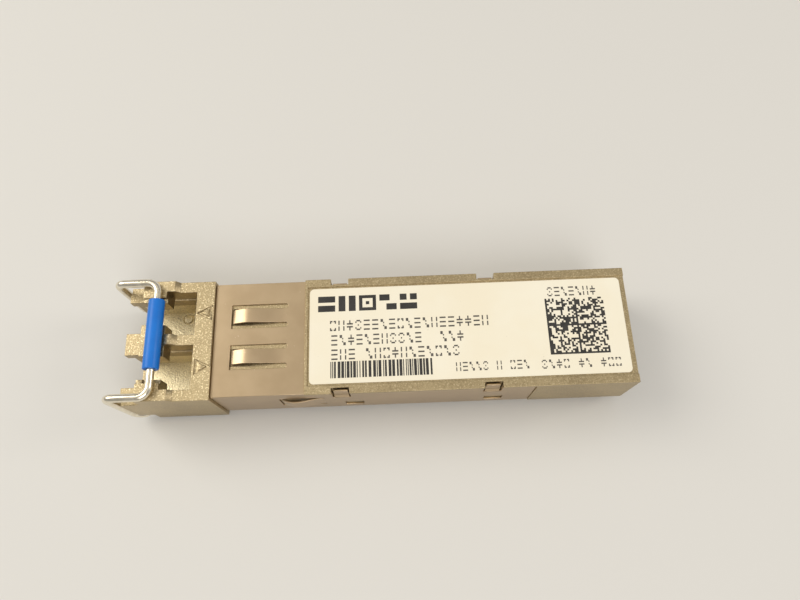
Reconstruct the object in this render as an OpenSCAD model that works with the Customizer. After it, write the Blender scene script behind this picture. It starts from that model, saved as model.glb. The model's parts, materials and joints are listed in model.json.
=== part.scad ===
// Pluggable optical transceiver module. A die-cast head and tray, a die-cast cover and a
// sheet-steel shell hold two optical sub-assemblies and a circuit board. A wire bail works
// a rocking latch under the head. X runs from the ports to the edge connector, Z is up.
// Places inside the modules count from the head's front face and the tray's underside.

/* [Housing] */
// Length from the head's front face to the rear end
body_len = 56.5; // [54:0.1:68]
// Width of the part that slides into a cage
body_w = 13.4; // [12.9:0.1:16.1]
// Height of the part that slides into a cage
body_h = 8.5; // [8.3:0.1:10.2]
// Length of the head in front of the shell
head_len = 9.75; // [9.75:0.05:10.5]
// How far each side of the head stands proud of the rear part
head_proud = 0.2; // [0.1:0.05:0.4]
// How far the top of the head stands above the rear part
head_rise = 0.2; // [0.1:0.05:0.4]
// How far the raised deck on the head stands above the rear part
deck_rise = 0.8; // [0.7:0.05:0.9]
// Side wall of the tray
wall = 1.1; // [1:0.05:1.3]
// Floor of the tray
floor_t = 0.8; // [0.7:0.05:0.85]
// Height of the cover's edge, from the tray's side walls to the top
cover_h = 1.1; // [1:0.05:1.2]
// Leg of the slanted edge along each side of the underside
edge_cut = 1.1; // [0.8:0.05:1.2]

/* [Ports] */
// Distance between the two ports' axes
port_pitch = 6.25; // [6.2:0.01:6.5]
// Width of the hole that takes the plug's body
port_w = 4.7; // [4.6:0.05:4.8]
// Height of the hole that takes the plug's body
port_h = 4.5; // [4.4:0.05:4.6]
// Height of the ports' floor
port_floor = 2.1; // [2:0.05:2.2]
// Depth of a port from the head's front face
port_depth = 9.6; // [9.4:0.05:9.7]
// Thickness of the wall behind the ports
back_wall = 1.9; // [1.7:0.05:2]
// Width of the slot for the plug's latch arm
slot_w = 2.6; // [2.4:0.05:2.8]
// Width between the prongs at the front of each port, above the plug
mouth_w = 3.7; // [3.2:0.05:3.9]

/* [Shell] */
// Thickness of the sheet steel
sheet = 0.2; // [0.15:0.01:0.25]
// How far the shell's sides lie inside the castings' sides
shell_inset = 0.12; // [0.05:0.01:0.15]
// Gap between the sheet and the castings
sheet_gap = 0.02; // [0.01:0.01:0.03]
// Rear edge of the collar
collar_end = 20; // [19.8:0.1:20.2]
// Rear end of the arms along the sides
arm_end = 45.4; // [44:0.1:46]
// Length of a spring finger on the top or underside
finger_len = 6.2; // [5.5:0.1:6.3]
// Width of a spring finger on the top or underside
finger_w = 1.65; // [1.4:0.05:1.8]
// How far the fingers bow out
finger_bow = 0.42; // [0.3:0.01:0.44]

/* [Label] */
// Thickness of the label
label_t = 0.1; // [0.06:0.01:0.15]
// Depth of the cover's recess for the label
label_recess = 0.2; // [0.15:0.01:0.25]
// Width of the cover's rim beside the recess
rim_w = 0.95; // [0.9:0.05:1.2]

/* [Bail and latch] */
// Diameter of the bail's wire
wire_d = 0.9; // [0.8:0.02:1.08]
// Outer diameter of the grip sleeve
sleeve_d = 1.76; // [1.6:0.02:1.8]
// Length of the grip sleeve
sleeve_len = 7.95; // [7:0.05:8.4]
// How far the sleeve has slid along the bar
sleeve_shift = 0.45; // [0:0.05:0.5]
// Distance of the bail's bar behind the front face
bar_x = 3.58; // [3.5:0.01:3.6]
// Offset of the crank that pushes the latch lever
crank = 0.55; // [0.5:0.01:0.56]
// Diameter of the lever's pin
pin_d = 0.6; // [0.5:0.02:0.62]
// Width of the latch lever
lever_w = 5.9; // [5.4:0.1:5.9]
// Width of the latch boss
boss_w = 2.6; // [2.4:0.05:2.7]
// How far the latch boss stands below the housing
boss_drop = 0.45; // [0.45:0.01:0.6]
// Distance of the latch boss's shoulder behind the head's front face
shoulder_x = 11.5; // [11.4:0.05:11.6]

/* [Optics] */
// Diameter of the bore that takes a plug's ferrule
ferrule_bore = 1.26; // [1.255:0.001:1.27]
// Outer diameter of a receptacle's barrel
barrel_d = 2.9; // [2.4:0.02:2.96]
// Diameter of the round header behind each receptacle
header_d = 4.8; // [4.4:0.1:4.8]

/* [Circuit board] */
// Height of the board's underside
board_z = 2.25; // [2.2:0.05:2.3]
// Thickness of the board
board_t = 1; // [0.8:0.05:1.2]
// Width of the board's edge connector
edge_w = 9.2; // [9:0.05:9.3]
// Distance of the board's rear edge ahead of the housing's rear end
board_set_back = 3.2; // [3:0.05:3.5]
// Distance between neighbouring contacts
contact_pitch = 0.8; // [0.78:0.01:0.82]
// Width of a contact
contact_w = 0.56; // [0.5:0.01:0.6]

/* [Hidden] */
$fn = 48;
round_fn = 32;
eps = 0.01;
cut = 1;

half_w = body_w / 2;
head_half = half_w + head_proud;
head_top = body_h + head_rise;
deck_top = body_h + deck_rise;
parting_z = body_h - cover_h;
inner_half = half_w - wall;
shell_half = half_w - shell_inset;
recessed_half = shell_half - sheet - sheet_gap;
shell_cut = edge_cut - shell_inset;
inner_cut = shell_cut - sheet * (2 - sqrt(2));

// Ports, and the prongs in front of the raised deck
port_y = port_pitch / 2;
port_z = port_floor + port_h / 2;
port_top = port_floor + port_h;
back_x = port_depth + back_wall;
prong_front = -0.35;
prong_end = 1.78;
prong_top = body_h - 0.8;
prong_ledge = 0.3;
prong_half = half_w - 0.65;
deck_end = 5.3;
deck_slope = 0.45;
well_start = 4.42;
well_end = 7.65;
well_half = 2.52;
peg_at = [4.68, 4.7];
peg_r = 0.5;
peg_h = 0.12;
peg_ring = 0.15;
arrow_x = 8.75;
arrow_tip = 0.95;
arrow_back = 0.83;
arrow_half = 0.9;
arrow_island = 0.5;
arrow_depth = 0.2;

// Bail wire
wire_r = wire_d / 2;
sleeve_r = sleeve_d / 2;
bar_z = deck_top + wire_r + 0.05;
leg_y = head_half - 0.35;
pivot_x = 0.65;
pivot_z = wire_r + 0.45;
low_bend = 0.9;
leg_x = pivot_x - 2 * low_bend;
top_bend = 0.9;
bar_bend = 1.2;
pivot_clear = 0.05;
cheek_y = 3.3;
crank_y = 2.7;
crank_end = 1.1;
crank_in = 0.2;
notch_x = 1.4;
notch_z = 1.7;
notch_half = leg_y - low_bend - 0.02;
trough_front = bar_x - sleeve_r - 0.15;
trough_rear = bar_x + sleeve_r + 0.1;
trough_z = bar_z - sleeve_r - 0.15;
trough_half = 4.9;
strip_z = deck_top - 0.27;

// Latch lever, its pin and its spring
lever_pin_x = 7;
lever_pin_z = 0.6;
pin_r = pin_d / 2;
pin_clear = 0.03;
hub_r = 0.55;
lever_low = 0.15;
lever_high = 0.85;
lever_side = 0.15;
tongue_top = pivot_z - wire_r - 0.1;
tongue_front = -0.25;
arm_w = 2.8;
arm_low = sheet + 0.1;
arm_high = arm_low + 0.3;
boss_flat = 0.8;
boss_len = 2.3;
arm_rear = shoulder_x + boss_len + 0.1;
pocket_z = 1.2;
spring_pocket_z = 1.4;
spring_pocket_x = 9.9;
spring_end_gap = 0.3;
raised_floor_z = 1.7;
raised_floor_end = 15.2;
crank_pocket_x = 2.1;
crank_pocket_z = pivot_z + wire_r + 0.07;
pocket_half = lever_w / 2 + lever_side;
spring_t = 0.12;
spring_w = 2.4;
spring_gap = 0.02;

// The whole model stands on its lowest point and is centred along its length
ground = boss_drop;
mid_x = (leg_x - wire_r + body_len) / 2;

// Shell details
collar_h = body_h - 0.2;
collar_start = head_len + 0.03;
arm_top = body_h - 0.5;
finger_slot = 0.58;
finger_y = [2.62, -2.12];
finger_root = 18.05;
finger_tip = finger_root - finger_len;
strip_start = finger_root - finger_slot / 2;
low_finger_y = [4, -4];
side_finger_root = 21.9;
side_finger_len = 4.9;
side_finger_w = 2.6;
side_finger_z = 4.4;
side_slot = 0.35;
finger_steps = 16;
strip_root = 0.3;
crest = 0.7;
relief = 0.22;
tab_x = [22.95, 39.7];
tab_len = 2;
tab_slit = 0.2;
tab_in = 0.25;
tab_foot = body_h - 2.5;
tab_knee = body_h - 2;
notch_depth = 0.7;
window_x = [24.1, 40.1];
window_len = 2.1;
window_low = 2;
window_high = 3.7;
snap_gap = 0.1;
boss_window_len = 5.2;
boss_window_w = 3.6;

// Cover details
pocket_roof = 0.5;
recess_z = body_h - label_recess;
recess_front = collar_end + 0.35;
recess_half = half_w - rim_w;
cover_side = 0.05;
locating_rib = 0.6;
rib_depth = 0.5;

// Label
label_front = collar_end + 0.55;
label_rear = body_len - 0.6;
label_half = recess_half - 0.2;
label_corner = 0.5;

// Optical sub-assemblies
gasket_t = 0.6;
gasket_x = back_x + 0.02;
flange_x = gasket_x + gasket_t + 0.02;
flange_t = 0.75;
flange_r = 2.2;
neck_r = 1.5;
neck_x = flange_x + flange_t;
neck_len = 0.9;
saddle_gap = 0.03;
holder_r = 2.1;
holder_x = neck_x + neck_len;
holder_len = 1.7;
barrel_r = barrel_d / 2;
barrel_front = 7.6;
bore_clear = 0.05;
sleeve_wall = 0.22;
ferrule_sleeve_x = barrel_front + 0.4;
ferrule_sleeve_len = 2.9;
ferrule_slit = 0.25;
ferrule_sleeve_gap = 0.03;
mouth_r = ferrule_bore / 2 + 0.12;
stub_x = ferrule_sleeve_x + ferrule_sleeve_len + 0.02;
stub_grip_x = stub_x + 0.8;
stub_r = 0.625;
can_x = holder_x + holder_len + 0.01;
can_r = 1.85;
can_len = 2.3;
can_wall = 0.2;
window_r = 0.45;
header_x = can_x + can_len;
header_t = 1.1;
lead_r = 0.2;
lead_circle = 0.85;
flex_t = 0.12;
flex_gap = 0.3;
flex_x = header_x + header_t + flex_gap;
lead_end = flex_x + flex_t + 0.03;
flex_half = 1.7;
flex_tail = 4.6;

// Circuit board
board_front = 21.8;
board_top = board_z + board_t;
board_half = inner_half - 0.15;
board_rear = body_len - board_set_back;
board_neck = board_rear - 4.3;
ledge_w = 0.6;
contact_len = 2.6;
contact_t = 0.035;
contact_set_back = 0.25;
contacts = 10;
driver = [28.5, 2.7, 4, 4, 0.9];
amplifier = [28.5, -2.8, 3.2, 3.2, 0.85];
controller = [36, 0, 5, 5, 0.9];
memory = [42.3, 2.7, 3, 2.4, 0.8];
inductor = [2, 1.6, 1.2];
inductor_at = [[42, -1.4], [42, -3.8]];
chip_part = [1, 0.5, 0.5];
capacitor_rows = [[32.2, 5, -4, 1.2], [39.6, 4, -4.2, 1.2]];
resistor_rows = [[45.4, 7, -4.2, 1.4], [47.2, 7, -4.2, 1.4]];
pad_t = 0.7;
pedestal_clear = 0.02;

// Helpers

module placed() translate([-mid_x, 0, ground]) children();

module block(x0, x1, y0, y1, z0, z1) {
    translate([x0, y0, z0]) cube([x1 - x0, y1 - y0, z1 - z0]);
}

module wide_block(x0, x1, half, z0, z1) block(x0, x1, -half, half, z0, z1);

module both_sides() {
    children();
    mirror([0, 1, 0]) children();
}

module each_port() for (side = [-1, 1]) translate([0, side * port_y, 0]) children();

module along_x(x0, x1) {
    translate([x0, 0, 0]) rotate([90, 0, 90]) linear_extrude(x1 - x0) children();
}

module along_y(half) {
    translate([0, half, 0]) rotate([90, 0, 0]) linear_extrude(2 * half) children();
}

module axle(x, z, r, y0, y1) {
    translate([x, y1, z]) rotate([90, 0, 0]) cylinder(r = r, h = y1 - y0);
}

module round_x(x0, x1, r, y = 0, z = port_z) {
    translate([x0, y, z]) rotate([0, 90, 0]) cylinder(r = r, h = x1 - x0);
}

module rounded_plate(x0, x1, half, z0, z1, r) {
    wide_block(x0 + r, x1 - r, half, z0, z1);
    wide_block(x0, x1, half - r, z0, z1);
    for (x = [x0 + r, x1 - r], side = [-1, 1])
        translate([x, side * (half - r), z0]) cylinder(r = r, h = z1 - z0);
}

// Cross-section of the housing, with a slanted edge along each lower side
function section(half, low, high, leg) = [
    [half - leg, low], [half, low + leg], [half, high],
    [-half, high], [-half, low + leg], [leg - half, low]];

// Quarter turn of wire at a corner, arriving along from and leaving along to
module wire_bend(corner, from, to, r) {
    centre = corner - r * from + r * to;
    side = cross(-to, from);
    multmatrix([
        [-to[0], from[0], side[0], centre[0]],
        [-to[1], from[1], side[1], centre[1]],
        [-to[2], from[2], side[2], centre[2]],
        [0, 0, 0, 1]])
        rotate_extrude(angle = 90) translate([r, 0]) circle(r = wire_r, $fn = round_fn);
}

module wire_run(from, to) {
    way = to - from;
    translate(from) rotate([0, acos(way[2] / norm(way)), atan2(way[1], way[0])])
        cylinder(r = wire_r, h = norm(way), $fn = round_fn);
}

// A bowed spring strip, seen from the side: root at 0, tip towards -X, bow towards +Y
function bow(u) = u < crest
    ? finger_bow * (1 - cos(180 * u / crest)) / 2
    : finger_bow * cos(98 * (u - crest) / (1 - crest));

function strip_edge(length, shift) = [
    for (i = [0:finger_steps]) [-length * i / finger_steps, bow(i / finger_steps) + shift]];

module spring_strip(length, width) {
    upper = strip_edge(length, sheet / 2);
    lower = strip_edge(length, -sheet / 2);
    back = [for (i = [finger_steps:-1:0]) lower[i]];
    along_y(width / 2)
        polygon(concat([[strip_root, sheet / 2]], upper, back, [[strip_root, -sheet / 2]]));
}

// Castings

module head_outside() {
    wide_block(prong_front, prong_end + cut, head_half, 0, prong_top);
    along_y(head_half) polygon([
        [prong_end, 0], [prong_end, deck_top], [deck_end, deck_top],
        [deck_end + deck_slope, head_top], [head_len, head_top], [head_len, 0]]);
}

module tray_outside() {
    along_x(head_len, collar_end + sheet_gap)
        polygon(section(recessed_half, sheet + sheet_gap, parting_z, inner_cut));
    along_x(collar_end + sheet_gap, arm_end + sheet_gap)
        polygon(section(recessed_half, 0, parting_z, edge_cut - half_w + recessed_half));
    along_x(arm_end + sheet_gap, body_len)
        polygon(section(half_w, 0, parting_z, edge_cut));
}

module port_hollow() {
    wide_block(-cut, port_depth, port_w / 2, port_floor, port_top);
    wide_block(-cut, prong_end, mouth_w / 2, port_floor, deck_top);
    wide_block(prong_end - eps, well_start, slot_w / 2, port_floor, deck_top + cut);
    wide_block(well_start - eps, well_end, well_half, port_top - eps, deck_top + cut);
    round_x(port_depth - eps, back_x + eps, barrel_r + bore_clear, 0);
}

// Foot of a round peg in the floor of the transmit port, in a ring-shaped groove
module at_peg() translate([peg_at[0], peg_at[1], port_floor - peg_ring]) children();

// The outer corner of each prong: a low ledge on top, and room for the bail's legs below
module prong_corner() {
    block(-cut, notch_x, notch_half, head_half + cut, -cut, notch_z);
    block(-cut, notch_x, prong_half, head_half + cut, prong_top - prong_ledge, prong_top + cut);
}

// Room for the grip sleeve in the deck, and for its way out over the deck's front edge
module sleeve_trough() {
    wide_block(trough_front, trough_rear, trough_half, trough_z, deck_top + cut);
    wide_block(prong_end - cut, trough_front + eps, trough_half, strip_z, deck_top + cut);
}

module latch_pocket() {
    wide_block(-cut, crank_pocket_x, cheek_y, -cut, crank_pocket_z);
    wide_block(crank_pocket_x - eps, spring_pocket_x, pocket_half, -cut, pocket_z);
    wide_block(spring_pocket_x - eps, arm_rear + 0.5, arm_w / 2 + lever_side, -cut,
        spring_pocket_z);
}

function arrow_outline(way, size) = [
    [arrow_tip * way * size, 0], [-arrow_back * way * size, arrow_half * size],
    [-arrow_back * way * size, -arrow_half * size]];

// A groove round a triangle that shows which way the light goes
module arrow(y, way) {
    translate([arrow_x, y, head_top - arrow_depth]) linear_extrude(cut) difference() {
        polygon(arrow_outline(way, 1));
        polygon(arrow_outline(way, arrow_island));
    }
}

module base_housing() {
    color([0.73, 0.66, 0.52]) placed() difference() {
        union() {
            difference() {
                union() {
                    head_outside();
                    tray_outside();
                }
                wide_block(back_x, body_len + cut, inner_half, floor_t, body_h + cut);
            }
            wide_block(back_x - eps, raised_floor_end, inner_half + eps, floor_t - eps,
                raised_floor_z);
            saddle();
            both_sides() block(board_front + 3, board_neck - 0.5, inner_half - ledge_w,
                inner_half + eps, floor_t - eps, board_z);
            snap_bosses();
        }
        difference() {
            union() {
                each_port() port_hollow();
                at_peg() cylinder(r = peg_r + peg_ring, h = peg_ring + cut);
            }
            at_peg() cylinder(r = peg_r, h = peg_ring + peg_h);
        }
        sleeve_trough();
        both_sides() prong_corner();
        latch_pocket();
        both_sides() axle(pivot_x, pivot_z, wire_r + pivot_clear, cheek_y - eps, notch_half + eps);
        axle(lever_pin_x, lever_pin_z, pin_r, -pocket_half - 1.6, head_half + cut);
        for (x = tab_x) both_sides()
            block(x, x + tab_len, half_w - notch_depth, half_w + cut, tab_foot - 0.1, body_h);
        finger_reliefs();
        arrow(port_y, -1);
        arrow(-port_y, 1);
    }
}

// Half-round rests behind the flanges, which hold the optical sub-assemblies
module saddle() {
    difference() {
        wide_block(neck_x + saddle_gap, holder_x - saddle_gap, inner_half + eps,
            floor_t - eps, port_z);
        each_port() round_x(neck_x - cut, holder_x + cut, neck_r + bore_clear);
    }
}

module snap_bosses() {
    for (x = window_x) both_sides() translate([x + snap_gap, 0, 0])
        rotate([90, 0, 90]) linear_extrude(window_len - 2 * snap_gap) polygon([
            [recessed_half - eps, window_low + snap_gap],
            [shell_half - 0.02, window_high - snap_gap - 0.3],
            [shell_half - 0.02, window_high - snap_gap],
            [recessed_half - eps, window_high - snap_gap]]);
}

// Shallow room in the castings under the fingers' tips
module finger_reliefs() {
    for (y = low_finger_y) finger_relief(y, 0, sheet + relief);
    side_tip = side_finger_root - side_finger_len;
    both_sides() block(side_tip - 0.3, side_tip + 2, recessed_half - relief, half_w + cut,
        side_finger_z - side_finger_w / 2 - 0.15, side_finger_z + side_finger_w / 2 + 0.15);
}

module finger_relief(y, low, high) {
    block(finger_tip - 0.4, finger_tip + 2.2, y - finger_w / 2 - 0.15,
        y + finger_w / 2 + 0.15, low, high);
}

module top_cover() {
    front_top = collar_h - sheet - sheet_gap;
    color([0.75, 0.68, 0.54]) placed() {
        difference() {
            union() {
                wide_block(head_len + sheet_gap, collar_end + sheet_gap, recessed_half,
                    parting_z, front_top);
                wide_block(collar_end + sheet_gap, arm_end + sheet_gap, recessed_half,
                    parting_z, arm_top + sheet_gap);
                wide_block(collar_end + sheet_gap, arm_end + sheet_gap, half_w,
                    arm_top + sheet_gap, body_h);
                wide_block(arm_end + sheet_gap, body_len, half_w, parting_z, body_h);
            }
            wide_block(back_x + 0.5, body_len - 2, inner_half - locating_rib,
                parting_z - cut, body_h - label_recess - pocket_roof);
            wide_block(recess_front, body_len + cut, recess_half, recess_z, body_h + cut);
            for (x = tab_x) both_sides() block(x, x + tab_len, half_w - notch_depth,
                half_w + cut, parting_z - cut, body_h + cut);
            for (y = finger_y) finger_relief(y, front_top - relief, body_h);
        }
        both_sides() block(board_front + 4, board_neck - 1,
            inner_half - cover_side - locating_rib, inner_half - cover_side,
            parting_z - rib_depth, parting_z + eps);
        block(driver[0] - driver[2] / 2, driver[0] + driver[2] / 2,
            driver[1] - driver[3] / 2, driver[1] + driver[3] / 2,
            pad_top() + pedestal_clear, recess_z - pocket_roof + eps);
    }
}

function pad_top() = board_top + driver[4] + pad_t + pedestal_clear;

// Sheet-steel shell

module collar() {
    difference() {
        along_x(collar_start, collar_end) difference() {
            polygon(section(shell_half, 0, collar_h, shell_cut));
            polygon(section(shell_half - sheet, sheet, collar_h - sheet, inner_cut));
        }
        for (y = finger_y) finger_cut(y, collar_h - cut);
        for (y = low_finger_y) finger_cut(y, -cut / 2);
        wide_block(shoulder_x - 1.1, shoulder_x + boss_window_len - 1.1, boss_window_w / 2,
            -cut, 1);
    }
}

// The opening round a finger, with a round rear end on each slot
module finger_cut(y, z) {
    slot_middle = (finger_w + finger_slot) / 2;
    block(finger_tip - 0.15, strip_start, y - finger_w / 2 - finger_slot,
        y + finger_w / 2 + finger_slot, z, z + 1.5 * cut);
    for (side = [-1, 1])
        translate([strip_start, y + side * slot_middle, z])
            cylinder(d = finger_slot, h = 1.5 * cut);
}

module shell_arm() {
    difference() {
        block(collar_end - eps, arm_end, shell_half - sheet, shell_half, shell_cut, arm_top);
        for (x = tab_x) block(x, x + tab_len, half_w - cut, half_w + cut, tab_foot, body_h);
        for (x = window_x) block(x, x + window_len, half_w - cut, half_w + cut,
            window_low, window_high);
    }
    for (x = tab_x) along_x(x + tab_slit, x + tab_len - tab_slit) polygon([
        [shell_half, tab_foot - 0.05], [shell_half - tab_in, tab_knee],
        [shell_half - tab_in, arm_top], [shell_half - tab_in - sheet, arm_top],
        [shell_half - tab_in - sheet, tab_knee], [shell_half - sheet, tab_foot - 0.05]]);
}

module side_finger() {
    translate([side_finger_root, shell_half - sheet / 2, side_finger_z]) rotate([-90, 0, 0])
        spring_strip(side_finger_len, side_finger_w);
}

module emi_shell() {
    side_tip = side_finger_root - side_finger_len;
    color([0.7, 0.63, 0.5]) placed() {
        difference() {
            union() {
                collar();
                both_sides() shell_arm();
            }
            both_sides() block(side_tip - 0.15, side_finger_root, half_w - cut, half_w + cut,
                side_finger_z - side_finger_w / 2 - side_slot,
                side_finger_z + side_finger_w / 2 + side_slot);
        }
        for (y = finger_y) translate([strip_start, y, collar_h - sheet / 2])
            spring_strip(strip_start - finger_tip, finger_w);
        for (y = low_finger_y) translate([strip_start, y, sheet / 2]) mirror([0, 0, 1])
            spring_strip(strip_start - finger_tip, finger_w);
        both_sides() side_finger();
    }
}

module label() {
    color([0.96, 0.93, 0.86]) placed() rounded_plate(label_front, label_rear, label_half,
        recess_z, recess_z + label_t, label_corner);
}

// Bail and latch

module bail_half() {
    bar_corner = [bar_x, leg_y, bar_z];
    tip_corner = [leg_x, leg_y, bar_z];
    low_corner = [leg_x, leg_y, pivot_z];
    pivot_corner = [pivot_x, leg_y, pivot_z];
    pin_start = [pivot_x, cheek_y - crank_in, pivot_z];
    pin_end = [pivot_x - crank, crank_y - crank_in, pivot_z];
    wire_run([bar_x, 0, bar_z], bar_corner - [0, bar_bend, 0]);
    wire_bend(bar_corner, [0, 1, 0], [-1, 0, 0], bar_bend);
    wire_run(bar_corner - [bar_bend, 0, 0], tip_corner + [top_bend, 0, 0]);
    wire_bend(tip_corner, [-1, 0, 0], [0, 0, -1], top_bend);
    wire_run(tip_corner - [0, 0, top_bend], low_corner + [0, 0, low_bend]);
    wire_bend(low_corner, [0, 0, -1], [1, 0, 0], low_bend);
    wire_bend(pivot_corner, [1, 0, 0], [0, -1, 0], low_bend);
    wire_run(pivot_corner - [0, low_bend, 0], pin_start);
    translate(pin_start) sphere(r = wire_r, $fn = round_fn);
    wire_run(pin_start, pin_end);
    translate(pin_end) sphere(r = wire_r, $fn = round_fn);
    wire_run(pin_end, [pivot_x - crank, crank_end, pivot_z]);
}

module bail_wire() color([0.86, 0.83, 0.76]) placed() both_sides() bail_half();

module bail_grip() {
    color([0, 0.37, 0.8]) placed() difference() {
        axle(bar_x, bar_z, sleeve_d / 2, sleeve_shift - sleeve_len / 2,
            sleeve_shift + sleeve_len / 2);
        axle(bar_x, bar_z, wire_r + 0.02, sleeve_shift - sleeve_len / 2 - cut,
            sleeve_shift + sleeve_len / 2 + cut);
    }
}

module latch_lever() {
    color([0.66, 0.6, 0.5]) placed() difference() {
        union() {
            wide_block(tongue_front, crank_pocket_x + 0.3, crank_y, 0, tongue_top);
            wide_block(crank_pocket_x - 0.1, head_len - 0.6, lever_w / 2, lever_low, lever_high);
            axle(lever_pin_x, lever_pin_z, hub_r, -lever_w / 2, lever_w / 2);
            wide_block(head_len - 0.7, arm_rear, arm_w / 2, arm_low, arm_high);
            along_y(boss_w / 2) polygon([
                [shoulder_x, arm_high - 0.1], [shoulder_x, -boss_drop],
                [shoulder_x + boss_flat, -boss_drop],
                [shoulder_x + boss_len, arm_low], [shoulder_x + boss_len, arm_high - 0.1]]);
        }
        axle(lever_pin_x, lever_pin_z, pin_r + pin_clear, -lever_w, lever_w);
    }
}

module lever_pin() {
    color([0.6, 0.6, 0.62]) placed()
        axle(lever_pin_x, lever_pin_z, pin_r, -pocket_half - 1.6, head_half - 0.05);
}

// A bowed leaf between the roof of its pocket and the lever's rear arm
module latch_spring() {
    front = spring_pocket_x + spring_end_gap;
    length = arm_rear - 2 * spring_end_gap - front;
    high = spring_pocket_z - spring_gap - spring_t / 2;
    low = arm_high + spring_gap + spring_t / 2;
    steps = 16;
    line = [for (i = [0:steps])
        [front + length * i / steps, high - (high - low) * sin(180 * i / steps)]];
    under = [for (i = [steps:-1:0]) line[i] - [0, spring_t / 2]];
    over = [for (p = line) p + [0, spring_t / 2]];
    color([0.75, 0.75, 0.76]) placed() along_y(spring_w / 2) polygon(concat(over, under));
}

// Optical sub-assemblies

module osa_retainer() {
    color([0.2, 0.2, 0.22]) placed() difference() {
        wide_block(neck_x + saddle_gap, holder_x - saddle_gap, inner_half - locating_rib - 0.1,
            port_z + 0.02, parting_z - 0.02);
        each_port() round_x(neck_x - cut, holder_x + cut, neck_r + bore_clear);
    }
}

module emi_gasket() {
    color([0.25, 0.25, 0.26]) placed() difference() {
        wide_block(gasket_x, gasket_x + gasket_t, inner_half - 0.1, raised_floor_z + 0.05,
            parting_z - 0.05);
        each_port() round_x(gasket_x - cut, gasket_x + gasket_t + cut, barrel_r + 0.02);
    }
}

module receptacle() {
    difference() {
        union() {
            round_x(barrel_front, flange_x + eps, barrel_r);
            round_x(flange_x, neck_x, flange_r);
            round_x(neck_x - eps, holder_x + eps, neck_r);
            round_x(holder_x, holder_x + holder_len, holder_r);
        }
        round_x(barrel_front - cut, stub_x, mouth_r);
        round_x(ferrule_sleeve_x - 0.02, stub_grip_x,
            ferrule_bore / 2 + sleeve_wall + ferrule_sleeve_gap);
        round_x(stub_x - eps, holder_x + holder_len + cut, stub_r);
    }
}

module split_sleeve() {
    difference() {
        round_x(ferrule_sleeve_x, ferrule_sleeve_x + ferrule_sleeve_len,
            ferrule_bore / 2 + sleeve_wall);
        round_x(ferrule_sleeve_x - cut, ferrule_sleeve_x + ferrule_sleeve_len + cut,
            ferrule_bore / 2);
        block(ferrule_sleeve_x - cut, ferrule_sleeve_x + ferrule_sleeve_len + cut,
            -ferrule_slit / 2, ferrule_slit / 2, port_z, port_z + cut + 1);
    }
}

module fibre_stub() round_x(stub_x, holder_x + holder_len - 0.3, stub_r);

module can() {
    difference() {
        round_x(can_x, header_x, can_r);
        round_x(can_x + can_wall, header_x + cut, can_r - can_wall);
        round_x(can_x - cut, header_x, window_r);
    }
}

module header() {
    difference() {
        round_x(header_x + eps, header_x + header_t, header_d / 2);
        leads_at() round_x(header_x - cut, header_x + header_t + cut, lead_r + 0.01);
    }
}

module leads_at() {
    for (turn = [45:90:315])
        translate([0, lead_circle * cos(turn), lead_circle * sin(turn)]) children();
}

module leads() leads_at() round_x(header_x + 0.2, lead_end, lead_r);

module flex() {
    difference() {
        union() {
            wide_block(flex_x, flex_x + flex_t, flex_half, board_top + 0.02 - 1.2, port_z + 1.7);
            wide_block(flex_x, flex_x + flex_tail, flex_half - 0.3, board_top + 0.02,
                board_top + 0.02 + flex_t);
        }
        leads_at() round_x(flex_x - cut, lead_end + 0.05, lead_r + 0.03);
    }
}

module at_tx() placed() translate([0, port_y, 0]) children();
module at_rx() placed() translate([0, -port_y, 0]) children();

module tx_receptacle() color([0.8, 0.79, 0.76]) at_tx() receptacle();
module tx_split_sleeve() color([0.93, 0.93, 0.9]) at_tx() split_sleeve();
module tx_fibre_stub() color([0.95, 0.95, 0.93]) at_tx() fibre_stub();
module tx_laser_can() color([0.85, 0.72, 0.4]) at_tx() can();
module tx_laser_header() color([0.85, 0.72, 0.4]) at_tx() header();
module tx_leads() color([0.9, 0.78, 0.45]) at_tx() leads();
module tx_flex() color([0.75, 0.5, 0.15]) at_tx() flex();
module rx_receptacle() color([0.8, 0.79, 0.76]) at_rx() receptacle();
module rx_split_sleeve() color([0.93, 0.93, 0.9]) at_rx() split_sleeve();
module rx_fibre_stub() color([0.95, 0.95, 0.93]) at_rx() fibre_stub();
module rx_detector_can() color([0.85, 0.72, 0.4]) at_rx() can();
module rx_detector_header() color([0.85, 0.72, 0.4]) at_rx() header();
module rx_leads() color([0.9, 0.78, 0.45]) at_rx() leads();
module rx_flex() color([0.75, 0.5, 0.15]) at_rx() flex();

// Circuit board

module circuit_board() {
    color([0.1, 0.38, 0.2]) placed() {
        wide_block(board_front, board_neck, board_half, board_z, board_top);
        wide_block(board_neck - eps, board_rear, edge_w / 2, board_z, board_top);
    }
}

module contact_row(z) {
    for (i = [0:contacts - 1]) {
        y = (i - (contacts - 1) / 2) * contact_pitch;
        longer = i % 3 == 0 ? 0.5 : 0;
        block(board_rear - contact_set_back - contact_len - longer,
            board_rear - contact_set_back, y - contact_w / 2, y + contact_w / 2,
            z, z + contact_t);
    }
}

module top_contacts() color([0.87, 0.7, 0.3]) placed() contact_row(board_top);
module bottom_contacts() color([0.87, 0.7, 0.3]) placed() contact_row(board_z - contact_t);

// A chip given as its centre, length, width and height
module chip(c) {
    block(c[0] - c[2] / 2, c[0] + c[2] / 2, c[1] - c[3] / 2, c[1] + c[3] / 2,
        board_top, board_top + c[4]);
}

module laser_driver() color([0.12, 0.12, 0.13]) placed() chip(driver);
module receive_amplifier() color([0.12, 0.12, 0.13]) placed() chip(amplifier);
module microcontroller() color([0.12, 0.12, 0.13]) placed() chip(controller);
module memory_chip() color([0.12, 0.12, 0.13]) placed() chip(memory);

module inductors() {
    color([0.3, 0.28, 0.27]) placed()
        for (at = inductor_at) chip([at[0], at[1], inductor[0], inductor[1], inductor[2]]);
}

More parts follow.
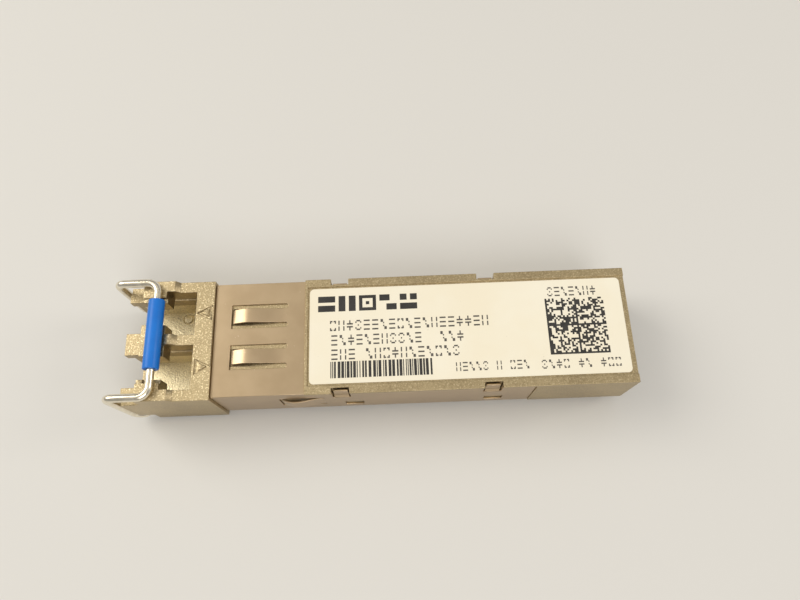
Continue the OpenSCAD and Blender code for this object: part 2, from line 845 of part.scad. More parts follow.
// A row of small parts given as its X, number of parts, first Y and step
module small_parts(row) {
    for (i = [0:row[1] - 1])
        chip([row[0], row[2] + row[3] * i, chip_part[0], chip_part[1], chip_part[2]]);
}

module capacitors() {
    color([0.62, 0.48, 0.33]) placed() for (row = capacitor_rows) small_parts(row);
}

module resistors() {
    color([0.15, 0.15, 0.16]) placed() for (row = resistor_rows) small_parts(row);
}

module thermal_pad() {
    color([0.6, 0.65, 0.7]) placed() translate([0, 0, driver[4] + pedestal_clear])
        chip([driver[0], driver[1], driver[2] - 0.3, driver[3] - 0.3, pad_t]);
}

base_housing();
top_cover();
emi_shell();
label();
bail_wire();
bail_grip();
latch_lever();
lever_pin();
latch_spring();
osa_retainer();
emi_gasket();
tx_receptacle();
tx_split_sleeve();
tx_fibre_stub();
tx_laser_can();
tx_laser_header();
tx_leads();
tx_flex();
rx_receptacle();
rx_split_sleeve();
rx_fibre_stub();
rx_detector_can();
rx_detector_header();
rx_leads();
rx_flex();
circuit_board();
top_contacts();
bottom_contacts();
laser_driver();
receive_amplifier();
microcontroller();
memory_chip();
inductors();
capacitors();
resistors();
thermal_pad();
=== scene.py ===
import json
import math
import random
import bpy
from mathutils import Matrix, Vector

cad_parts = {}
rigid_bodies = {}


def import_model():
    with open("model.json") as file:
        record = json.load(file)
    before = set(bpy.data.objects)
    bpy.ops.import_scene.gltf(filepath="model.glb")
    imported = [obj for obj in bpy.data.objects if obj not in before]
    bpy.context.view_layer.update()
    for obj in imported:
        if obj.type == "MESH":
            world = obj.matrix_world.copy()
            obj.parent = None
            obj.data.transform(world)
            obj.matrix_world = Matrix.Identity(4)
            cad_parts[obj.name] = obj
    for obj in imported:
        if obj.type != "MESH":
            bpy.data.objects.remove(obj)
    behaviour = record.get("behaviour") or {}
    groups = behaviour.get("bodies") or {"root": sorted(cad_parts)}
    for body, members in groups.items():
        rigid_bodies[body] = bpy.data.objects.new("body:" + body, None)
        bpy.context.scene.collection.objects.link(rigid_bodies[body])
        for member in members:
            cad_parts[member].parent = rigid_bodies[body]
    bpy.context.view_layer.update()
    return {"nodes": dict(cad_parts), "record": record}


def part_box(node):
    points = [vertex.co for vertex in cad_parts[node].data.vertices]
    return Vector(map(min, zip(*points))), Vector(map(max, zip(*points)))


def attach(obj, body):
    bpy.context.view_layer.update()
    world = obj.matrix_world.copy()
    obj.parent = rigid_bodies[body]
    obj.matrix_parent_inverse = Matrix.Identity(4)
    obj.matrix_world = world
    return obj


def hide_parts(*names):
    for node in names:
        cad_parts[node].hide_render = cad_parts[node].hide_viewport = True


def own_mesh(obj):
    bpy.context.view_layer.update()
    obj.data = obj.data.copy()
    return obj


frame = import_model()
nodes = frame["nodes"]
mm = 0.001
bodyLength = 56.5
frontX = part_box("base_housing")[1].x - bodyLength * mm
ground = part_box("base_housing")[0].z


def at(x, y, z):
    # a place given in millimetres from the head's front face and the underside
    return Vector((frontX + x * mm, y * mm, ground + z * mm))


def clearSelection():
    for thing in bpy.context.scene.objects:
        thing.select_set(False)


def pick(piece):
    clearSelection()
    piece.select_set(True)
    bpy.context.view_layer.objects.active = piece


clearSelection()
print("frame loaded:", len(nodes), "nodes")


class Flow:
    # a number on its way through a material, which plain sums can be written with
    def __init__(self, tree, socket):
        self.tree = tree
        self.socket = socket

    def maths(self, operation, first, second=0.0):
        node = addNode(self.tree, "ShaderNodeMath", {"operation": operation}, [first, second])
        return Flow(self.tree, node.outputs[0])

    def __add__(self, other):
        return self.maths("ADD", self, other)

    def __radd__(self, other):
        return self.maths("ADD", other, self)

    def __sub__(self, other):
        return self.maths("SUBTRACT", self, other)

    def __rsub__(self, other):
        return self.maths("SUBTRACT", other, self)

    def __mul__(self, other):
        return self.maths("MULTIPLY", self, other)

    def __rmul__(self, other):
        return self.maths("MULTIPLY", other, self)

    def __gt__(self, other):
        return self.maths("GREATER_THAN", self, other)

    def __lt__(self, other):
        return self.maths("LESS_THAN", self, other)

    def __abs__(self):
        return self.maths("ABSOLUTE", self)

    def ramp(self, low, high):
        # 0 below low, 1 above high, with a smooth step between
        node = addNode(self.tree, "ShaderNodeMapRange", {"interpolation_type": "SMOOTHSTEP"},
                       [self, low, high, 0.0, 1.0])
        return Flow(self.tree, node.outputs[0])


def feed(tree, socket, value):
    if isinstance(value, Flow):
        tree.links.new(value.socket, socket)
    elif isinstance(value, bpy.types.NodeSocket):
        tree.links.new(value, socket)
    elif value is not None:
        socket.default_value = value


def addNode(tree, kind, settings=None, values=None):
    node = tree.nodes.new(kind)
    for name, value in (settings or {}).items():
        setattr(node, name, value)
    pairs = values.items() if isinstance(values, dict) else enumerate(values or [])
    for name, value in pairs:
        feed(tree, node.inputs[name], value)
    return node


class Finish:
    # one material: its tree, its shader and the patterns that it is built from
    def __init__(self, name, **fixed):
        self.material = bpy.data.materials.new(name)
        self.material.use_nodes = True
        self.tree = self.material.node_tree
        self.shader = self.tree.nodes["Principled BSDF"]
        self.place = self.add("ShaderNodeTexCoord").outputs["Object"]
        for socket, value in fixed.items():
            self.shader.inputs[socket.replace("_", " ")].default_value = value

    def add(self, kind, settings=None, values=None):
        return addNode(self.tree, kind, settings, values)

    def noise(self, size, detail=2.0, rough=0.5, place=None):
        node = self.add("ShaderNodeTexNoise", None, {
            "Vector": place or self.place, "Scale": 1 / (size * mm), "Detail": detail, "Roughness": rough})
        return Flow(self.tree, node.outputs["Fac"])

    def cells(self, size):
        node = self.add("ShaderNodeTexVoronoi", None, {"Vector": self.place, "Scale": 1 / (size * mm)})
        return Flow(self.tree, node.outputs["Distance"])

    def stretched(self, x, y, z):
        # the place, squeezed along each axis, for streaks
        return self.add("ShaderNodeMapping", None, {"Vector": self.place, "Scale": (x, y, z)}).outputs[0]

    def axis(self, letter, vector=None):
        node = self.add("ShaderNodeSeparateXYZ", None, [vector or self.place])
        return Flow(self.tree, node.outputs[letter])

    def facing(self, letter):
        # how squarely the face looks along an axis, either way
        return abs(self.axis(letter, self.add("ShaderNodeNewGeometry").outputs["True Normal"]))

    def within(self, ranges):
        # 1 inside a box given in millimetres from the head's front face and the underside, else 0
        inside = 1.0
        for letter, start, (low, high) in zip("XYZ", at(0, 0, 0), ranges):
            place = self.axis(letter)
            inside = inside * (place > start + low * mm) * (place < start + high * mm)
        return inside

    def mix(self, share, first, second):
        # inputs 6 and 7 and output 2 are the colour ones
        node = self.add("ShaderNodeMix", {"data_type": "RGBA"}, {0: share, 6: first, 7: second})
        return node.outputs[2]

    def send(self, socket, value):
        feed(self.tree, self.shader.inputs[socket], value)

    def bump(self, height, depth):
        node = self.add("ShaderNodeBump", None, {"Strength": 1.0, "Distance": depth * mm, "Height": height})
        self.send("Normal", node.outputs[0])


def shade(red, green, blue, share=1.0):
    return (share * red, share * green, share * blue, 1.0)


# looks: colours, then sizes and depths of the patterns in millimetres
castLook = {"light": shade(0.52, 0.42, 0.255), "dark": shade(0.37, 0.29, 0.17),
            "pit": shade(0.27, 0.21, 0.12), "paintedGlint": shade(0.98, 0.86, 0.58), "paintedWellLight": shade(0.98, 0.87, 0.6),
            "paintedGlintSize": 0.17, "pitSize": 0.4, "grain": 0.15, "speckle": 0.195, "cloud": 4.0,
            "grainDepth": 0.02, "headEnd": 10.0, "wells": ((0.3, 9.7), (-5.6, 5.6), (1.5, 5.0))}


def castMetal(name, look):
    # nickel over a grainy die casting: flat faces and the ports' floors show the grain most, with painted
    # glints on flat upward faces and painted light in the port wells
    finish = Finish(name, Metallic=1.0)
    grain = finish.noise(look["grain"], 3.0, 0.6)
    speckle = finish.cells(look["speckle"])
    flat = finish.facing("Z").ramp(0.4, 0.9)
    head = finish.axis("X") < frontX + look["headEnd"] * mm
    deep = finish.within(look["wells"])
    cloud = finish.noise(look["cloud"], 2.0, 0.6)
    tone = (grain * 0.7 + cloud * 0.3).ramp(0.34, 0.62)
    base = finish.mix(tone, look["dark"], look["light"])
    pits = finish.noise(look["pitSize"], 2.0, 0.7).ramp(0.66, 0.74) * 0.4
    # painted glints: bright specks put into the colour, strongest on upward-facing flat faces and on the head
    glintSpots = finish.noise(look["paintedGlintSize"], 1.0, 0.5).ramp(0.55, 0.7)
    paintedGlints = glintSpots * (0.15 + 0.6 * flat) * (0.4 + 0.6 * head)
    worn = finish.mix(pits, base, look["pit"])
    # painted light: inside the port wells the colour is pulled towards a pale yellow to stand in for light
    # reaching their floors
    paintedWellLight = finish.mix(deep * (0.35 + 0.65 * tone), worn, look["paintedWellLight"])
    finish.send("Base Color", finish.mix(paintedGlints, paintedWellLight, look["paintedGlint"]))
    finish.send("Roughness", 0.27 + 0.2 * grain + 0.08 * cloud)
    height = grain * 0.7 + speckle * 0.5
    finish.bump(height * (0.25 + 0.75 * flat) * (1.0 + deep * 1.3), look["grainDepth"])
    return finish.material


sheetLook = {"light": shade(0.545, 0.42, 0.275), "dark": shade(0.5, 0.38, 0.245),
             "fleck": shade(0.85, 0.76, 0.6), "cloud": 3.0, "line": 0.25, "lineStretch": 0.06,
             "fleckSize": 0.5, "grain": 0.08, "depth": 0.004}


def sheetMetal(name, look, rough):
    # satin nickel-plated sheet: almost even, with a few bright flecks and faint rolling lines
    finish = Finish(name, Metallic=1.0)
    cloud = finish.noise(look["cloud"], 3.0, 0.55)
    lines = finish.noise(look["line"], 2.0, 0.5, finish.stretched(look["lineStretch"], 1.0, 1.0))
    flecks = finish.noise(look["fleckSize"], 3.0, 0.75).ramp(0.7, 0.76) * 0.7
    base = finish.mix(cloud.ramp(0.3, 0.7), look["dark"], look["light"])
    finish.send("Base Color", finish.mix(flecks, base, look["fleck"]))
    finish.send("Roughness", rough + 0.06 * cloud + 0.05 * lines)
    finish.bump(lines * 0.3 + finish.noise(look["grain"], 2.0) * 0.3, look["depth"])
    return finish.material


plainLook = {"cloud": 1.6, "darker": 0.78}


def plainMetal(name, colour, rough, grainSize=0.15, depth=0.004, look=plainLook):
    # even metal with a faint cloud and a fine grain
    finish = Finish(name, Metallic=1.0)
    grain = finish.noise(grainSize, 3.0, 0.6)
    cloud = finish.noise(look["cloud"], 2.0)
    tone = (cloud * 0.6 + grain * 0.4).ramp(0.35, 0.65)
    finish.send("Base Color", finish.mix(tone, shade(*colour, look["darker"]), shade(*colour)))
    finish.send("Roughness", rough + 0.12 * (grain - 0.5) + 0.08 * (cloud - 0.5))
    finish.bump(grain, depth)
    return finish.material


turnedLook = {"colour": (0.68, 0.66, 0.62), "darker": 0.8, "rough": 0.2,
              "ring": 0.07, "ringStretch": 0.02, "cloud": 1.5, "depth": 0.004}


def turnedMetal(name, look):
    # fine rings left by the lathe, along X
    finish = Finish(name, Metallic=1.0)
    around = finish.stretched(1.0, look["ringStretch"], look["ringStretch"])
    rings = finish.noise(look["ring"], 2.0, 0.5, around)
    cloud = finish.noise(look["cloud"], 2.0)
    light = shade(*look["colour"])
    finish.send("Base Color", finish.mix(rings, shade(*look["colour"], look["darker"]), light))
    finish.send("Roughness", look["rough"] + 0.1 * rings + 0.05 * cloud)
    finish.bump(rings, look["depth"])
    return finish.material


wireLook = {"light": shade(0.92, 0.86, 0.73), "dark": shade(0.8, 0.73, 0.58),
            "scuff": shade(0.6, 0.53, 0.4), "wear": 0.5, "scuffSize": 0.16, "depth": 0.004}


def wireMetal(name, look):
    # bright drawn wire with faint wear and a few dull scuffs
    finish = Finish(name, Metallic=1.0)
    wear = finish.noise(look["wear"], 3.0, 0.6)
    scuffs = finish.noise(look["scuffSize"], 2.0, 0.7).ramp(0.62, 0.72) * 0.5
    base = finish.mix(wear.ramp(0.3, 0.7), look["dark"], look["light"])
    finish.send("Base Color", finish.mix(scuffs, base, look["scuff"]))
    finish.send("Roughness", 0.18 + 0.12 * wear + 0.1 * scuffs)
    finish.bump(wear, look["depth"])
    return finish.material


plasticLook = {"cloud": 1.8, "coatRough": 0.2}


def plastic(name, colour, second, rough, grainSize=0.12, depth=0.006, coat=0.0, look=plasticLook):
    # moulded or printed surface whose colour wanders a little between two shades
    finish = Finish(name, Coat_Weight=coat, Coat_Roughness=look["coatRough"])
    cloud = finish.noise(look["cloud"], 3.0, 0.6)
    grain = finish.noise(grainSize, 2.0, 0.6)
    tone = (cloud * 0.7 + grain * 0.3).ramp(0.3, 0.7)
    finish.send("Base Color", finish.mix(tone, shade(*colour), shade(*second)))
    finish.send("Roughness", rough + 0.1 * (cloud - 0.5) + 0.08 * (grain - 0.5))
    finish.bump(grain, depth)
    return finish.material


paperLook = {"light": shade(0.92, 0.87, 0.73), "dark": shade(0.9, 0.83, 0.665),
             "speck": shade(0.42, 0.4, 0.33), "cloud": 9.0, "speckSize": 0.55, "grain": 0.12, "depth": 0.003}


def paper(name, look):
    # matt cream label with a faint yellowing and a few grey specks
    finish = Finish(name)
    cloud = finish.noise(look["cloud"], 3.0, 0.6)
    specks = finish.noise(look["speckSize"], 3.0, 0.72).ramp(0.715, 0.76) * 0.4
    base = finish.mix(cloud.ramp(0.3, 0.7), look["dark"], look["light"])
    finish.send("Base Color", finish.mix(specks, base, look["speck"]))
    finish.send("Roughness", 0.42 + 0.12 * cloud)
    finish.bump(finish.noise(look["grain"], 2.0), look["depth"])
    return finish.material


boardLook = {"mask": shade(0.01, 0.09, 0.035), "track": shade(0.03, 0.2, 0.07), "stretch": 0.12,
             "trackX": 0.5, "trackY": 0.6, "cloud": 1.0, "depth": 0.012}


def board(name, look):
    # green mask with copper tracks showing through as slightly lighter lines
    finish = Finish(name, Coat_Weight=0.3, Coat_Roughness=0.15)
    alongX = finish.noise(look["trackX"], 0.0, 0.5, finish.stretched(look["stretch"], 1.0, 1.0))
    alongY = finish.noise(look["trackY"], 0.0, 0.5, finish.stretched(1.0, look["stretch"], 1.0))
    tracks = (alongX.ramp(0.52, 0.54) + alongY.ramp(0.56, 0.58)).ramp(0.2, 0.9)
    finish.send("Base Color", finish.mix(tracks * 0.6, look["mask"], look["track"]))
    finish.send("Roughness", 0.3 + 0.1 * finish.noise(look["cloud"]))
    finish.bump(tracks, look["depth"])
    return finish.material


# plastics: two shades, roughness, size and depth of the grain in millimetres, then the coat
finishes = {
    "cast_nickel": castMetal("castNickel", castLook),
    "shell_steel": sheetMetal("satinSheet", sheetLook, 0.27),
    "lever_steel": sheetMetal("leverSheet", sheetLook, 0.33),
    "label_paper": paper("labelPaper", paperLook),
    "bail_steel": wireMetal("brightWire", wireLook),
    "receptacle_steel": turnedMetal("turnedSteel", turnedLook),
    "board_green": board("boardGreen", boardLook),
    "pin_steel": plainMetal("groundPin", (0.62, 0.62, 0.64), 0.2),
    "spring_steel": plainMetal("springLeaf", (0.68, 0.68, 0.68), 0.18),
    "gold_plate": plainMetal("goldPlate", (0.83, 0.6, 0.22), 0.22, 0.1, 0.003),
    "grip_blue": plastic("blueTube", (0.0, 0.165, 0.66), (0.0, 0.195, 0.74), 0.42, 0.3, 0.004, 0.05),
    "black_plastic": plastic("blackPlastic", (0.025, 0.025, 0.028), (0.04, 0.04, 0.044), 0.45),
    "gasket_foam": plastic("gasketFoam", (0.05, 0.05, 0.052), (0.08, 0.08, 0.08), 0.8, 0.2, 0.03),
    "zirconia": plastic("whiteCeramic", (0.82, 0.81, 0.76), (0.88, 0.87, 0.83), 0.18, 0.2, 0.001, 0.4),
    "flex_film": plastic("amberFilm", (0.45, 0.2, 0.03), (0.58, 0.28, 0.05), 0.25, 0.4, 0.004, 0.3),
    "chip_black": plastic("mouldedEpoxy", (0.02, 0.02, 0.022), (0.035, 0.035, 0.037), 0.55, 0.08, 0.008),
    "ferrite": plastic("ferrite", (0.06, 0.055, 0.052), (0.1, 0.09, 0.085), 0.6, 0.1, 0.01),
    "ceramic_tan": plastic("tanCeramic", (0.3, 0.19, 0.1), (0.38, 0.25, 0.14), 0.45, 0.1, 0.005),
    "pad_grey": plastic("thermalPad", (0.28, 0.33, 0.38), (0.34, 0.39, 0.44), 0.75, 0.15, 0.02),
    "ink": plastic("printInk", (0.018, 0.017, 0.016), (0.04, 0.038, 0.035), 0.5, 0.1, 0.001),
    "greyInk": plastic("greyInk", (0.07, 0.065, 0.058), (0.11, 0.1, 0.09), 0.5, 0.1, 0.001),
}
slotOf = {part["node"]: part["material_slot"] for part in frame["record"]["subparts"]}
for name, node in nodes.items():
    node.data.materials.clear()
    node.data.materials.append(finishes[slotOf[name]])
print("finishes made:", len(finishes))


def finishPiece(piece, name, body, slotName, *replaced):
    # the place goes into the mesh, then the piece takes its finish and its body
    pick(piece)
    bpy.ops.object.transform_apply(location=True, rotation=True, scale=True)
    piece.name = name
    piece.data.name = name
    piece.data.materials.clear()
    piece.data.materials.append(finishes[slotName])
    if replaced:
        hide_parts(*replaced)
    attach(piece, body)
    return piece


def modify(piece, kind, **settings):
    pick(piece)
    modifier = piece.modifiers.new(kind.lower(), kind)
    for name, value in settings.items():
        setattr(modifier, name, value)
    bpy.ops.object.modifier_apply(modifier=modifier.name)


def smoothShade(piece, degrees):
    pick(piece)
    bpy.ops.object.shade_smooth_by_angle(angle=math.radians(degrees))


def softened(nodeName, pieceName, body, edge):
    # a copy of a CAD node, welded, with its edges rounded as plating and casting leave them
    pick(nodes[nodeName])
    bpy.ops.object.duplicate()
    piece = bpy.context.object
    piece.parent = None
    for key in list(piece.keys()):
        del piece[key]
    bpy.ops.object.mode_set(mode="EDIT")
    bpy.ops.mesh.select_all(action="SELECT")
    bpy.ops.mesh.remove_doubles(threshold=edge["weld"] * mm)
    bpy.ops.mesh.dissolve_limited(angle_limit=math.radians(edge["flat"]))
    bpy.ops.object.mode_set(mode="OBJECT")
    modify(piece, "BEVEL", width=edge["width"] * mm, segments=edge["steps"], limit_method="ANGLE",
           angle_limit=math.radians(edge["angle"]), use_clamp_overlap=False, miter_outer="MITER_ARC")
    smoothShade(piece, edge["sharp"])
    modify(piece, "WEIGHTED_NORMAL", keep_sharp=True, weight=100)
    return finishPiece(piece, pieceName, body, slotOf[nodeName], nodeName)


# millimetres and degrees
castEdge = {"weld": 0.012, "flat": 0.5, "width": 0.05, "steps": 2, "angle": 30, "sharp": 50}
sheetEdge = {"weld": 0.005, "flat": 0.5, "width": 0.045, "steps": 2, "angle": 30, "sharp": 50}
leafEdge = {"weld": 0.004, "flat": 0.5, "width": 0.02, "steps": 1, "angle": 40, "sharp": 50}
leafSquash = {"fixedX": 11.75, "fixedZ": 1.38, "keep": 0.3}
softened("base_housing", "headAndTray", "housing", castEdge)
softened("top_cover", "cover", "housing", castEdge)
softened("emi_shell", "sheetShell", "housing", sheetEdge)
softened("latch_lever", "rockingLever", "lever", sheetEdge)
leaf = softened("latch_spring", "returnLeaf", "housing", leafEdge)
leafTop = at(leafSquash["fixedX"], 0, leafSquash["fixedZ"])
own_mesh(leaf)
print("castings and sheet softened")

bail = {"wire": 0.45, "barX": 3.58, "barZ": 9.80, "legX": -1.15, "legY": 6.55,
        "pivotX": 0.65, "pivotZ": 0.9, "cornerY": 3.1, "crank": 0.55, "crankY": 2.5, "endY": 1.1,
        "barBend": 1.2, "legBend": 0.9, "crankBend": 0.35, "steps": 14, "around": 6,
        "endEdge": 0.12, "endSteps": 3, "endAngle": 60, "sharp": 50}
shortest = 0.02
weldShort = 0.001


def roundedPath(corners, steps):
    # corners are (place, radius of the bend); straight runs join the bends
    path = [corners[0][0]]
    for (before, _), (corner, radius), (after, _) in zip(corners, corners[1:], corners[2:]):
        back = (before - corner).normalized()
        ahead = (after - corner).normalized()
        half = back.angle(ahead) / 2
        reach = radius / math.tan(half)
        centre = corner + (back + ahead).normalized() * (radius / math.sin(half))
        start = corner + back * reach - centre
        turn = math.pi - 2 * half
        normal = start.cross(corner + ahead * reach - centre).normalized()
        for step in range(steps + 1):
            point = centre + Matrix.Rotation(turn * step / steps, 3, normal) @ start
            if (point - path[-1]).length > shortest * mm:
                path.append(point)
    path.append(corners[-1][0])
    return path


def makeWire(b):
    # the corners of one side, from the bar down the leg and in to the cranked end
    crankX = b["pivotX"] - b["crank"]
    half = [(at(b["barX"], b["legY"], b["barZ"]), b["barBend"]),
            (at(b["legX"], b["legY"], b["barZ"]), b["legBend"]),
            (at(b["legX"], b["legY"], b["pivotZ"]), b["legBend"]),
            (at(b["pivotX"], b["legY"], b["pivotZ"]), b["legBend"]),
            (at(b["pivotX"], b["cornerY"], b["pivotZ"]), b["crankBend"]),
            (at(crankX, b["crankY"], b["pivotZ"]), b["crankBend"]),
            (at(crankX, b["endY"], b["pivotZ"]), 0.0)]
    otherHalf = [(Vector((place.x, -place.y, place.z)), radius) for place, radius in reversed(half)]
    corners = [(place, radius * mm) for place, radius in otherHalf + half]
    path = roundedPath(corners, b["steps"])
    curve = bpy.data.curves.new("bailWire", "CURVE")
    curve.dimensions = "3D"
    curve.bevel_depth = b["wire"] * mm
    curve.bevel_resolution = b["around"]
    curve.use_fill_caps = True
    spline = curve.splines.new("POLY")
    spline.points.add(len(path) - 1)
    for point, place in zip(spline.points, path):
        point.co = (*place, 1.0)
    wire = bpy.data.objects.new("bailWire", curve)
    bpy.context.scene.collection.objects.link(wire)
    pick(wire)
    bpy.ops.object.convert(target="MESH")
    wire = bpy.context.object
    bpy.ops.object.mode_set(mode="EDIT")
    bpy.ops.mesh.select_all(action="SELECT")
    bpy.ops.mesh.remove_doubles(threshold=weldShort * mm)
    bpy.ops.mesh.normals_make_consistent(inside=False)
    bpy.ops.object.mode_set(mode="OBJECT")
    modify(wire, "BEVEL", width=b["endEdge"] * mm, segments=b["endSteps"], limit_method="ANGLE",
           angle_limit=math.radians(b["endAngle"]))
    smoothShade(wire, b["sharp"])
    return finishPiece(wire, "bailWire", "bail", "bail_steel", "bail_wire")


makeWire(bail)

grip = {"radius": 0.88, "length": 7.95, "shift": 0.45, "wall": 0.4, "edge": 0.1, "steps": 4, "angle": 60,
        "around": 72, "sharp": 40}


def makeGrip(g, b):
    bpy.ops.mesh.primitive_cylinder_add(
        vertices=g["around"], radius=g["radius"] * mm, depth=g["length"] * mm, end_fill_type="NOTHING",
        location=at(b["barX"], g["shift"], b["barZ"]), rotation=(math.pi / 2, 0, 0))
    tube = bpy.context.object
    modify(tube, "SOLIDIFY", thickness=g["wall"] * mm, offset=-1)
    modify(tube, "BEVEL", width=g["edge"] * mm, segments=g["steps"], limit_method="ANGLE",
           angle_limit=math.radians(g["angle"]))
    smoothShade(tube, g["sharp"])
    return finishPiece(tube, "blueGripTube", "bail", "grip_blue", "bail_grip")


makeGrip(grip, bail)
print("bail made")

# rows of abstract marks, bars and cells; nothing in them can be read
printing = {"top": 8.4, "thick": 0.012, "seed": 7, "aspect": 0.78}
markSize = {"columns": 5, "rows": 7, "pitch": 7}
boldSize = {"columns": 5, "rows": 5, "pitch": 6}
marks = ["#####/...../...../#####/...../...../#####", "#...#/#...#/#...#/...../#...#/#...#/#...#",
         "##.##/#...#/...../...../...../#...#/##.##", "..#../..#../#####/...../#####/..#../..#..",
         "##.../##.../..#../...../..#../...##/...##", ".###./#...#/...../..#../...../#...#/.###."]
words = [
    {"x": (22.85, 40.9), "y": 1.05, "height": 1.2, "spaces": []},
    {"x": (23.0, 38.0), "y": -0.65, "height": 1.2, "spaces": [11, 12]},
    {"x": (23.0, 37.45), "y": -2.3, "height": 1.2, "spaces": [3]},
    {"x": (36.7, 44.9), "y": -4.2, "height": 1.0, "spaces": [5, 7]},
    {"x": (47.6, 53.3), "y": 4.13, "height": 1.1, "spaces": []},
    {"x": (46.1, 55.0), "y": -4.3, "height": 1.0, "spaces": [4, 7]},
]
headline = {"x": (21.5, 32.75), "y": (2.75, 4.6), "marks": [
    "#####/#####/...../#####/#####", "##.##/##.##/##.##/##.##/##.##", "#####/#...#/#.#.#/#...#/#####",
    "###../###../...../..###/..###", "##.##/##.##/...../#####/#####"]}
bars = {"x": (22.9, 34.2), "y": (-4.95, -3.1), "columns": 113,
        "inkWidths": (1, 1, 2, 3), "gapWidths": (1, 1, 2)}
matrix = {"x": (47.2, 53.8), "y": (-3.25, 3.3), "cells": 32, "share": 0.47}


def printPatch(x, y, columns, rows, printed):
    # a grid laid on the label, from which the cells that carry no ink are taken away
    middle = at(sum(x) / 2, sum(y) / 2, printing["top"])
    bpy.ops.mesh.primitive_grid_add(x_subdivisions=columns, y_subdivisions=rows, size=1, location=middle)
    patch = bpy.context.object
    patch.scale = ((x[1] - x[0]) * mm, (y[1] - y[0]) * mm, 1)
    pick(patch)
    bpy.ops.object.transform_apply(location=True, rotation=True, scale=True)
    low = at(x[0], y[0], printing["top"])
    stepX = (x[1] - x[0]) * mm / columns
    stepY = (y[1] - y[0]) * mm / rows
    patch.data.vertices.foreach_set("select", [False] * len(patch.data.vertices))
    patch.data.edges.foreach_set("select", [False] * len(patch.data.edges))
    for face in patch.data.polygons:
        column = int((face.center.x - low.x) / stepX)
        row = int((face.center.y - low.y) / stepY)
        face.select = not printed(column, row)
    if any(face.select for face in patch.data.polygons):
        bpy.context.tool_settings.mesh_select_mode = (False, False, True)
        bpy.ops.object.mode_set(mode="EDIT")
        bpy.ops.mesh.delete(type="FACE")
        bpy.ops.object.mode_set(mode="OBJECT")
    return patch


def joinPrint(patches, name, inkName):
    clearSelection()
    for patch in patches:
        patch.select_set(True)
    bpy.context.view_layer.objects.active = patches[0]
    bpy.ops.object.join()
    ink = bpy.context.object
    modify(ink, "SOLIDIFY", thickness=printing["thick"] * mm, offset=1)
    finishPiece(ink, name, "housing", inkName)


def markPatch(x, y, row, size, columns):
    # a row of marks side by side; None leaves a gap
    def printed(column, line):
        mark = row[column // size["pitch"]]
        place = column % size["pitch"]
        if mark is None or place >= size["columns"]:
            return False
        return mark.split("/")[size["rows"] - 1 - line][place] == "#"
    return printPatch(x, y, columns, size["rows"], printed)


def wordPatch(word, dice):
    width = word["x"][1] - word["x"][0]
    count = round(width / (printing["aspect"] * word["height"]))
    row = [None if place in word["spaces"] else dice.choice(marks) for place in range(count)]
    y = (word["y"] - word["height"] / 2, word["y"] + word["height"] / 2)
    return markPatch(word["x"], y, row, markSize, count * markSize["pitch"])


def barPatch(dice):
    stripes = []
    while len(stripes) < bars["columns"]:
        stripes += [True] * dice.choice(bars["inkWidths"]) + [False] * dice.choice(bars["gapWidths"])
    return printPatch(bars["x"], bars["y"], bars["columns"], 1, lambda column, row: stripes[column])


def matrixPatch(dice):
    size = matrix["cells"]
    dots = [[dice.random() < matrix["share"] for _ in range(size)] for _ in range(size)]
    solid = (0, size // 2)
    return printPatch(matrix["x"], matrix["y"], size, size,
                      lambda column, row: column in solid or row in solid or dots[column][row])


def makePrint():
    dice = random.Random(printing["seed"])
    columns = boldSize["pitch"] * len(headline["marks"]) - 1
    bold = markPatch(headline["x"], headline["y"], headline["marks"], boldSize, columns)
    fine = [wordPatch(word, dice) for word in words]
    joinPrint([bold, barPatch(dice), matrixPatch(dice)], "labelPrint", "ink")
    joinPrint(fine, "labelLines", "greyInk")


makePrint()
print("label printed")

# place and clipping in millimetres, turn in degrees
camera = {"place": (3.58, -21.64, 78.49), "turn": (20.08, 0.92, -2.06), "lens": 29.31, "sensor": 36,
          "near": 1, "far": 10000}


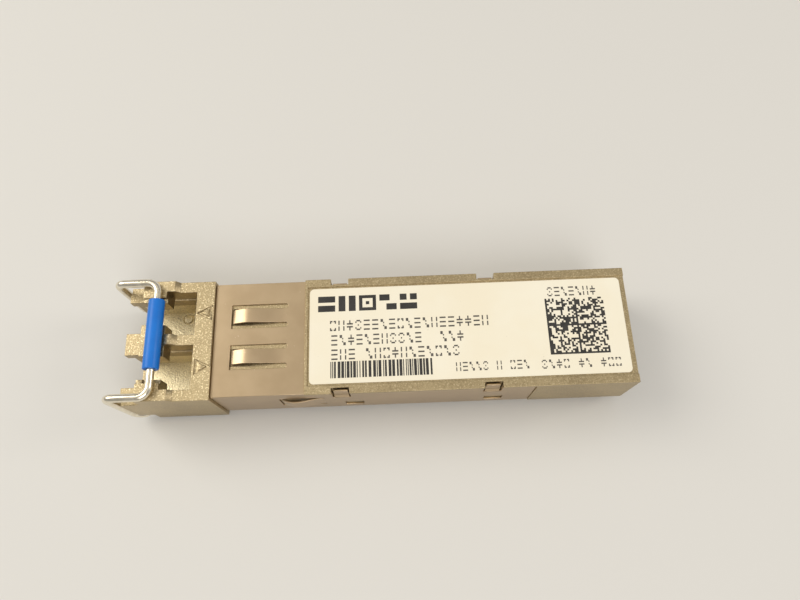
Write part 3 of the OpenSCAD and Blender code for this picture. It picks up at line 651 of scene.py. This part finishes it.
def makeCamera(c):
    turnX, turnY, turnZ = [math.radians(angle) for angle in c["turn"]]
    data = bpy.data.cameras.new("camera")
    data.lens = c["lens"]
    data.sensor_width = c["sensor"]
    data.clip_start = c["near"] * mm
    data.clip_end = c["far"] * mm
    thing = bpy.data.objects.new("camera", data)
    bpy.context.scene.collection.objects.link(thing)
    turn = Matrix.Rotation(turnY, 4, "Y") @ Matrix.Rotation(turnX, 4, "X")
    turn = Matrix.Rotation(turnZ, 4, "Z") @ turn
    thing.matrix_world = Matrix.Translation(Vector(c["place"]) * mm) @ turn
    bpy.context.scene.camera = thing


makeCamera(camera)

# places and sizes of the lamps and the floor in metres
lamps = [
    {"name": "window", "place": (-0.32, 0.12, 0.30), "size": 0.26, "power": 0.9, "tint": (1.0, 0.96, 0.86)},
    {"name": "ceiling", "place": (0.0, 0.12, 0.5), "size": 0.6, "power": 0.5, "tint": (1.0, 0.92, 0.77)},
    {"name": "fill", "place": (0.08, -0.34, 0.40), "size": 0.3, "power": 0.95, "tint": (1.0, 0.97, 0.92)},
    {"name": "rim", "place": (0.36, 0.04, 0.22), "size": 0.12, "power": 0.3, "tint": (1.0, 0.95, 0.86)},
]
stage = {"floor": 1.6, "colour": shade(0.72, 0.71, 0.69), "rough": 0.7, "cloud": 30.0,
         "world": shade(1.0, 0.98, 0.95), "strength": 0.33}


def makeLamp(lamp):
    data = bpy.data.lights.new(lamp["name"], "AREA")
    data.size = lamp["size"]
    data.energy = lamp["power"]
    data.color = lamp["tint"]
    thing = bpy.data.objects.new(lamp["name"], data)
    place = Vector(lamp["place"])
    turn = place.to_track_quat("Z", "Y").to_matrix().to_4x4()
    thing.matrix_world = Matrix.Translation(place) @ turn
    bpy.context.scene.collection.objects.link(thing)


def makeStage(s):
    bpy.ops.mesh.primitive_plane_add(size=s["floor"], location=(0, 0, 0))
    floor = bpy.context.object
    floor.name = "floor"
    surface = Finish("floorPaper")
    surface.send("Base Color", s["colour"])
    surface.send("Roughness", s["rough"] + 0.1 * surface.noise(s["cloud"]))
    floor.data.materials.append(surface.material)
    world = bpy.data.worlds.new("studio")
    world.use_nodes = True
    background = world.node_tree.nodes["Background"]
    background.inputs["Color"].default_value = s["world"]
    background.inputs["Strength"].default_value = s["strength"]
    bpy.context.scene.world = world


makeStage(stage)
for lamp in lamps:
    makeLamp(lamp)
bpy.context.scene.view_settings.view_transform = "Standard"
print("stage lit")
